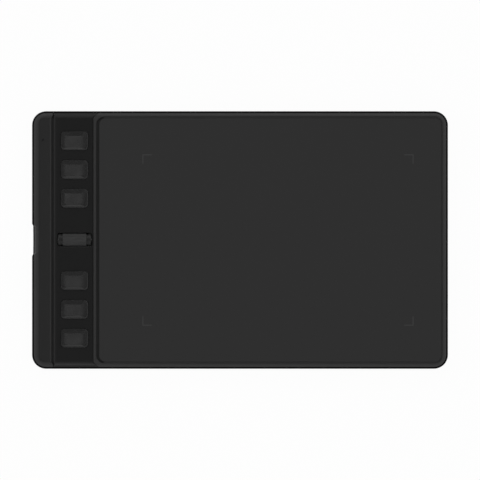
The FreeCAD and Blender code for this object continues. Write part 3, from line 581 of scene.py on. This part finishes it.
def key_rings(y):
    """A key from the foot of its post, up its sides and down into its dish."""
    x0 = KEY_X - KEY_W / 2
    x1 = KEY_X + KEY_W / 2
    y0 = y - KEY_H / 2
    y1 = y + KEY_H / 2
    rings = [ring(KEY_X - KEY_POST_R, KEY_X + KEY_POST_R, y - KEY_POST_R, y + KEY_POST_R, z,
                  KEY_POST_R) for z in (KEY_POST_Z, KEY_FLANGE_Z0)]
    soft = KEY_SIDE_R
    inner = KEY_FLANGE - soft
    for out, z in ((inner, KEY_FLANGE_Z0), (KEY_FLANGE, KEY_FLANGE_Z0 + soft),
                   (KEY_FLANGE, KEY_FLANGE_Z1 - soft), (inner, KEY_FLANGE_Z1),
                   (0.0, KEY_FLANGE_Z1)):
        rings.append(ring(x0 - out, x1 + out, y0 - out, y1 + out, z, KEY_CORNER_R))
    for step in range(KEY_EDGE_STEPS + 1):
        below = KEY_EDGE_R * (1 - math.sin(math.pi / 2 * step / KEY_EDGE_STEPS))
        side = rounding(KEY_SIDE_R, below)
        near = rounding(KEY_EDGE_R, below)
        rings.append(ring(x0 + side, x1 - side, y0 + near, y1 - side, KEY_TOP_Z - below,
                          KEY_CORNER_R - side))
    for step in range(KEY_DISH_STEPS + 1):
        depth = step / KEY_DISH_STEPS
        left = KEY_LIP + (KEY_DISH_LEFT - KEY_LIP) * (1 - (1 - depth) ** KEY_LEFT_BEND)
        right = KEY_RIGHT_LIP + (KEY_DISH_RIGHT - KEY_RIGHT_LIP) * (1 - math.sqrt(1 - depth))
        far = KEY_LIP + (KEY_DISH_FAR - KEY_LIP) * depth
        near = KEY_NEAR_LIP + (KEY_DISH_NEAR - KEY_NEAR_LIP) * depth
        corner = KEY_CORNER_R - KEY_LIP + (KEY_DISH_CORNER_R - KEY_CORNER_R + KEY_LIP) * depth
        level = ring(x0 + left, x1 - right, y0 + near, y1 - far, KEY_TOP_Z, corner)
        rings.append([(u, v, z - depth * dish_depth((u - x0) / KEY_W, (y1 - v) / KEY_H))
                      for u, v, z in level])
    return rings


def add_keys():
    """The six keys, from the far side."""
    for number, y in enumerate(KEY_CENTRES_Y, 1):
        mesh = loft(f"key cap {number}", key_rings(y))
        add_piece(f"key_cap_{number}", mesh, f"push_key_{number}", "key_plastic", f"key_{number}")


def mark_outline(width, reach):
    """Outline of an L with round ends, from its corner along x and y."""
    half = width / 2
    points = [(-half, -half), (reach, -half)]
    for i in range(1, CORNER_STEPS):
        angle = math.radians(-90 + 180 * i / CORNER_STEPS)
        points.append((reach + half * math.cos(angle), half * math.sin(angle)))
    points += [(reach, half), (half, half), (half, reach)]
    for i in range(1, CORNER_STEPS):
        angle = math.radians(180 * i / CORNER_STEPS)
        points.append((half * math.cos(angle), reach + half * math.sin(angle)))
    points.append((-half, reach))
    return points


def top_of_strip(y):
    """Height of the strip's middle: flat, then a hollow rise, then the rounding of the rim."""
    out = abs(y)
    height = STRIP_TOP_Z
    if out > RAMP_FOOT_Y:
        rise = min((out - RAMP_FOOT_Y) / (RAMP_TOP_Y - RAMP_FOOT_Y), 1.0)
        height = STRIP_TOP_Z + (TOP_Z - STRIP_TOP_Z) * rise ** RAMP_POWER
    rim_start = HALF_D - LEDGE - RIM_REACH
    if out > rim_start:
        over = out - rim_start
        height = min(height, TOP_Z - RIM_R + math.sqrt(RIM_R ** 2 - over ** 2))
    return height


def sides_of_strip(y):
    """Left and right edge of the strip there."""
    out = abs(y)
    shift = min(max((out - SHIFT_Y0) / (SHIFT_Y1 - SHIFT_Y0), 0.0), 1.0)
    left = STRIP_X0 + (STRIP_X0_AT_RIM - STRIP_X0) * shift
    turned_y = FLARE_Y + FLARE_R * math.sin(FLARE_TURN)
    if out <= FLARE_Y:
        return left, STRIP_X1
    if out <= turned_y:
        turn = math.asin((out - FLARE_Y) / FLARE_R)
        return left, STRIP_X1 + FLARE_R * (1 - math.cos(turn))
    turned_x = STRIP_X1 + FLARE_R * (1 - math.cos(FLARE_TURN))
    return left, turned_x + (out - turned_y) * math.tan(FLARE_TURN)


def strip_section(y, bottom):
    """Cross-section of the strip at y, from its bottom left corner and over the top."""
    left, right = sides_of_strip(y)
    top = top_of_strip(y)
    points = [(left, y, bottom)]
    bend_x = left + STRIP_EDGE_REACH
    straight = STRIP_EDGE_REACH - STRIP_EDGE_R * math.sin(STRIP_EDGE_TURN) - STRIP_FINE_R
    rolled_z = top - STRIP_EDGE_R * (1 - math.cos(STRIP_EDGE_TURN))
    foot_z = rolled_z - straight * math.tan(STRIP_EDGE_TURN)
    points.append((left, y, foot_z - STRIP_FINE_R))
    points.append((left + STRIP_FINE_R, y, foot_z))
    for i in range(CORNER_STEPS + 1):
        turn = STRIP_EDGE_TURN * (1 - i / CORNER_STEPS)
        points.append((bend_x - STRIP_EDGE_R * math.sin(turn), y,
                       top - STRIP_EDGE_R * (1 - math.cos(turn))))
    for i in range(EDGE_STEPS + 1):
        turn = math.pi / 2 * i / EDGE_STEPS
        points.append((right - STRIP_FINE_R * (1 - math.sin(turn)), y,
                       top - STRIP_FINE_R * (1 - math.cos(turn))))
    points.append((right, y, bottom))
    return points


def strip_sections():
    """Sections of the strip from one hooked end to the other."""
    hook = HALF_D - LEDGE - HOOK_THICK
    inner = [RAMP_FOOT_Y + (hook - RAMP_FOOT_Y) * i / RAMP_STEPS for i in range(RAMP_STEPS + 1)]
    outer = [hook + (HOOK_THICK - HOOK_SETBACK) * math.sin(math.pi / 2 * i / RAMP_STEPS)
             for i in range(RAMP_STEPS + 1)]
    far_half = [strip_section(y, STRIP_BOTTOM_Z) for y in inner]
    far_half += [strip_section(y, HOOK_Z) for y in outer]
    near_half = [[(x, -y, z) for x, y, z in section] for section in reversed(far_half)]
    return near_half + far_half


def carved(name, mesh, cutters):
    """Copy of the mesh with the cutters' forms taken out of it."""
    whole = new_object(name, mesh)
    tools = []
    for number, cutter in enumerate(cutters):
        tool = new_object(f"{name} cutter {number}", cutter)
        tools.append(tool)
        cut = whole.modifiers.new(f"cut {number}", "BOOLEAN")
        cut.operation = "DIFFERENCE"
        cut.solver = "EXACT"
        cut.object = tool
    settled = whole.evaluated_get(bpy.context.evaluated_depsgraph_get())
    result = bpy.data.meshes.new_from_object(settled)
    for leftover in tools + [whole]:
        bpy.data.objects.remove(leftover)
    return result


def window_form(y):
    """Form of a key's window in the strip, with its upper edge softened."""
    half_x = KEY_W / 2 + WINDOW_GAP
    half_y = KEY_H / 2 + WINDOW_GAP
    corner = KEY_CORNER_R + WINDOW_GAP
    levels = [(0.0, HOOK_Z)]
    for i in range(EDGE_STEPS + 1):
        turn = math.pi / 2 * i / EDGE_STEPS
        levels.append((WINDOW_EDGE_R * (1 - math.cos(turn)),
                       STRIP_TOP_Z - WINDOW_EDGE_R * (1 - math.sin(turn))))
    levels.append((WINDOW_EDGE_R, TOP_Z))
    return loft("opening", [ring(KEY_X - half_x - out, KEY_X + half_x + out, y - half_y - out,
                                 y + half_y + out, z, corner + out) for out, z in levels])


def slot_form():
    """Form of the roller's opening: straight below, then a slope at its near side, a roll elsewhere."""
    rings = [ring(KEY_X - SLOT_FOOT_HALF_X, KEY_X + SLOT_FOOT_HALF_X, SLOT_FOOT_Y0, SLOT_FOOT_Y1,
                  HOOK_Z, SLOT_FOOT_CORNER_R)]
    for i in range(CORNER_STEPS + 1):
        out = i / CORNER_STEPS
        half_x = SLOT_FOOT_HALF_X + (SLOT_HALF_X - SLOT_FOOT_HALF_X) * out
        rise = math.sin(math.pi / 2 * out)
        y0 = SLOT_FOOT_Y0 + (SLOT_Y0 - SLOT_FOOT_Y0) * rise
        y1 = SLOT_FOOT_Y1 + (SLOT_Y1 - SLOT_FOOT_Y1) * out
        z = SLOT_FOOT_Z + (STRIP_TOP_Z - SLOT_FOOT_Z) * rise
        corner = SLOT_FOOT_CORNER_R + (SLOT_CORNER_R - SLOT_FOOT_CORNER_R) * out
        rings.append(ring(KEY_X - half_x, KEY_X + half_x, y0, y1, z, corner))
    rings.append([(x, y, TOP_Z) for x, y, z in rings[-1]])
    return loft("roller opening", rings)


def add_strip():
    """The key strip, with its windows and the roller's slot cut out."""
    openings = [outward(window_form(y)) for y in KEY_CENTRES_Y]
    openings.append(outward(slot_form()))
    whole = outward(loft("strip blank", strip_sections()))
    add_piece("key_strip_plate", carved("key strip plate", whole, openings), "casing",
              "strip_plastic", "key_strip")


def turned(profile):
    """Copies of a profile of x and radius, set round the roller's axle."""
    rings = []
    for step in range(LATHE_STEPS):
        angle = 2 * math.pi * step / LATHE_STEPS
        rings.append([(KEY_X + x, ROLLER_Y + radius * math.cos(angle),
                       ROLLER_Z + radius * math.sin(angle)) for x, radius in profile])
    return rings


def arc_points(middle_x, middle_r, radius, start, end, steps):
    """Points of an arc in a lathe profile, with angles in degrees from the axle's direction."""
    points = []
    for i in range(steps + 1):
        angle = math.radians(start + (end - start) * i / steps)
        points.append((middle_x + radius * math.cos(angle), middle_r + radius * math.sin(angle)))
    return points


def hub_profile():
    """Barrel, two necks and two round-edged caps, with the bore and the magnet's seat."""
    inner_round = CAP_ROUND / 2
    outer_x = CAP_OUTER - CAP_ROUND
    outer_r = CAP_R - CAP_ROUND
    inner_x = NECK_END + inner_round
    inner_r = CAP_R - inner_round
    left = [(-CAP_OUTER + MAGNET_DEPTH, BORE_R), (-CAP_OUTER + MAGNET_DEPTH, MAGNET_R),
            (-CAP_OUTER + CAP_DISH, MAGNET_R)]
    left += arc_points(-outer_x, outer_r, CAP_ROUND, 180, 90, CAP_STEPS)
    left += arc_points(-inner_x, inner_r, inner_round, 90, 0, EDGE_STEPS)
    left += [(-NECK_END, NECK_R), (-NECK_START, NECK_R), (-NECK_START, HUB_R)]
    right = [(NECK_START, HUB_R), (NECK_START, NECK_R), (NECK_END, NECK_R)]
    right += arc_points(inner_x, inner_r, inner_round, 180, 90, EDGE_STEPS)
    right += arc_points(outer_x, outer_r, CAP_ROUND, 90, 0, CAP_STEPS)
    right += [(CAP_OUTER - CAP_DISH, MAGNET_R), (CAP_OUTER - CAP_DISH, BORE_R)]
    return left + right


def ribbed_radius(angle):
    """Radius of the tyre's outside there, with a narrow groove between every two ribs."""
    pitch = 2 * math.pi / TYRE_RIBS
    aside = ((angle + pitch / 2) % pitch - pitch / 2) * TYRE_R
    return TYRE_R - RIB_DEPTH * math.exp(-(aside / RIB_SPREAD) ** 2)


def tyre_ring(x, drop=None):
    """Points round the tyre at x: that far below its ribbed outside, or else on its bore."""
    count = TYRE_RIBS * RIB_POINTS
    points = []
    for i in range(count):
        angle = 2 * math.pi * i / count
        radius = TYRE_INNER_R if drop is None else ribbed_radius(angle) - drop
        points.append((KEY_X + x, ROLLER_Y + radius * math.cos(angle),
                       ROLLER_Z + radius * math.sin(angle)))
    return points


def tyre_rings():
    """Ribbed sleeve, from its inner left edge over the outside to its inner right edge."""
    rings = [tyre_ring(-TYRE_HALF)]
    for side in (-1, 1):
        for i in range(CORNER_STEPS + 1):
            turn = math.pi / 2 * (i / CORNER_STEPS if side < 0 else 1 - i / CORNER_STEPS)
            rings.append(tyre_ring(side * (TYRE_HALF - TYRE_EDGE_R * (1 - math.cos(turn))),
                                   TYRE_EDGE_R * (1 - math.sin(turn))))
    rings.append(tyre_ring(TYRE_HALF))
    return rings


def add_roller():
    """The tyre and the hub, each a closed form round the axle."""
    add_piece("ribbed_tyre", loft("ribbed tyre", tyre_rings(), closed=True), "roller",
              "roller_rubber", "roller_tyre")
    add_piece("roller_hub", loft("roller hub", turned(hub_profile()), closed=True), "roller",
              "roller_plastic", "roller_core")


def add_contacts():
    """Gold contacts on both faces of the socket's tongue."""
    half = CONTACT_WIDTH / 2
    form = bmesh.new()
    for number in range(CONTACTS):
        y = PORT_Y + (number - (CONTACTS - 1) / 2) * CONTACT_PITCH
        for z0, z1 in ((TONGUE_Z1, TONGUE_Z1 + CONTACT_THICK),
                       (TONGUE_Z0 - CONTACT_THICK, TONGUE_Z0)):
            form.from_mesh(loft("contact", [ring(CONTACT_X0, CONTACT_X1, y - half, y + half, z,
                                                 half / 2) for z in (z0, z1)]))
    mesh = bpy.data.meshes.new("contacts")
    form.to_mesh(mesh)
    form.free()
    piece = add_piece("socket_contacts", mesh, "casing", "tin")
    piece.data.materials[0] = gold


def add_marks():
    """Thin printed corners that bound the working area."""
    outline = mark_outline(MARK_WIDTH, MARK_REACH)
    corners = ((MARK_X0, MARK_HALF_Y, 1, -1), (MARK_X0, -MARK_HALF_Y, 1, 1),
               (MARK_X1, MARK_HALF_Y, -1, -1), (MARK_X1, -MARK_HALF_Y, -1, 1))
    for number, (x, y, turn_x, turn_y) in enumerate(corners, 1):
        rings = [[(x + turn_x * u, y + turn_y * v, z) for u, v in outline]
                 for z in (FILM_TOP_Z - MARK_THICK, FILM_TOP_Z + MARK_THICK)]
        mark = add_piece(f"corner_mark_{number}", loft(f"corner mark {number}", rings), "casing",
                         "film")
        mark.data.materials[0] = print_ink


def add_floor():
    """Pale table top that shows as white and keeps a soft shadow."""
    half = FLOOR_SIDE / 2
    mesh = bpy.data.meshes.new("floor")
    mesh.from_pydata([(-half, -half, 0), (half, -half, 0), (half, half, 0), (-half, half, 0)],
                     [], [(0, 1, 2, 3)])
    floor = new_object("floor", mesh)
    material = bpy.data.materials.new("floor")
    material.use_nodes = True
    tree = material.node_tree
    tree.nodes.clear()
    output = tree.nodes.new("ShaderNodeOutputMaterial")
    diffuse = tree.nodes.new("ShaderNodeBsdfDiffuse")
    set_inputs(diffuse, Color=(FLOOR_TONE, FLOOR_TONE, FLOOR_TONE, 1.0))
    glow = tree.nodes.new("ShaderNodeEmission")
    set_inputs(glow, Color=(1.0, 1.0, 1.0, 1.0))
    path = tree.nodes.new("ShaderNodeLightPath").outputs
    seen = calculate(tree, "MAXIMUM", path["Is Camera Ray"], path["Is Glossy Ray"])
    seen = calculate(tree, "MAXIMUM", seen, path["Is Transmission Ray"])
    mix = tree.nodes.new("ShaderNodeMixShader")
    tree.links.new(calculate(tree, "MULTIPLY", seen, FLOOR_GLOW), mix.inputs["Fac"])
    tree.links.new(diffuse.outputs[0], mix.inputs[1])
    tree.links.new(glow.outputs[0], mix.inputs[2])
    tree.links.new(mix.outputs[0], output.inputs["Surface"])
    mesh.materials.append(material)


def add_lamp():
    """Soft rectangular lamp that faces the middle of the object."""
    light = bpy.data.lights.new("far lamp", "AREA")
    light.shape = "RECTANGLE"
    light.size, light.size_y = LAMP_SIDES
    light.energy = LAMP_WATTS
    lamp = new_object("far lamp", light)
    lamp.location = LAMP_PLACE
    lamp.rotation_euler = (-Vector(LAMP_PLACE)).to_track_quat("-Z", "Y").to_euler()


def add_world():
    """Plain studio dome: bright low down, a dimmer band high up and a soft patch overhead."""
    world = bpy.data.worlds.new("studio")
    world.use_nodes = True
    tree = world.node_tree
    place = tree.nodes.new("ShaderNodeTexCoord")
    split = tree.nodes.new("ShaderNodeSeparateXYZ")
    levels = tree.nodes.new("ShaderNodeValToRGB")
    levels.color_ramp.interpolation = "EASE"
    stops = levels.color_ramp.elements
    while len(stops) < len(DOME):
        stops.new(0.5)
    for stop, (height, strength) in zip(stops, DOME):
        share = strength / DOME_PEAK
        stop.position = height
        stop.color = (share, share, share, 1.0)
    tree.links.new(place.outputs["Generated"], split.inputs[0])
    tree.links.new(split.outputs["Z"], levels.inputs["Fac"])
    tree.links.new(levels.outputs["Color"], tree.nodes["Background"].inputs["Color"])
    tree.nodes["Background"].inputs["Strength"].default_value = DOME_PEAK
    bpy.context.scene.world = world


def add_camera():
    """Long lens, high above the middle of the object."""
    camera = new_object("camera", bpy.data.cameras.new("camera"))
    camera.data.lens = LENS_MM
    camera.data.sensor_width = SENSOR_MM
    camera.data.sensor_fit = "HORIZONTAL"
    camera.data.clip_start = CLIP_START
    camera.data.clip_end = CLIP_END
    camera.location = (0.0, 0.0, VIEW_PLANE_Z + VIEW_WIDTH * LENS_MM / SENSOR_MM)
    bpy.context.scene.camera = camera


add_keys()
add_strip()
add_roller()
add_contacts()
add_marks()
add_floor()
add_world()
add_lamp()
add_camera()

bpy.context.scene.view_settings.view_transform = "Standard"
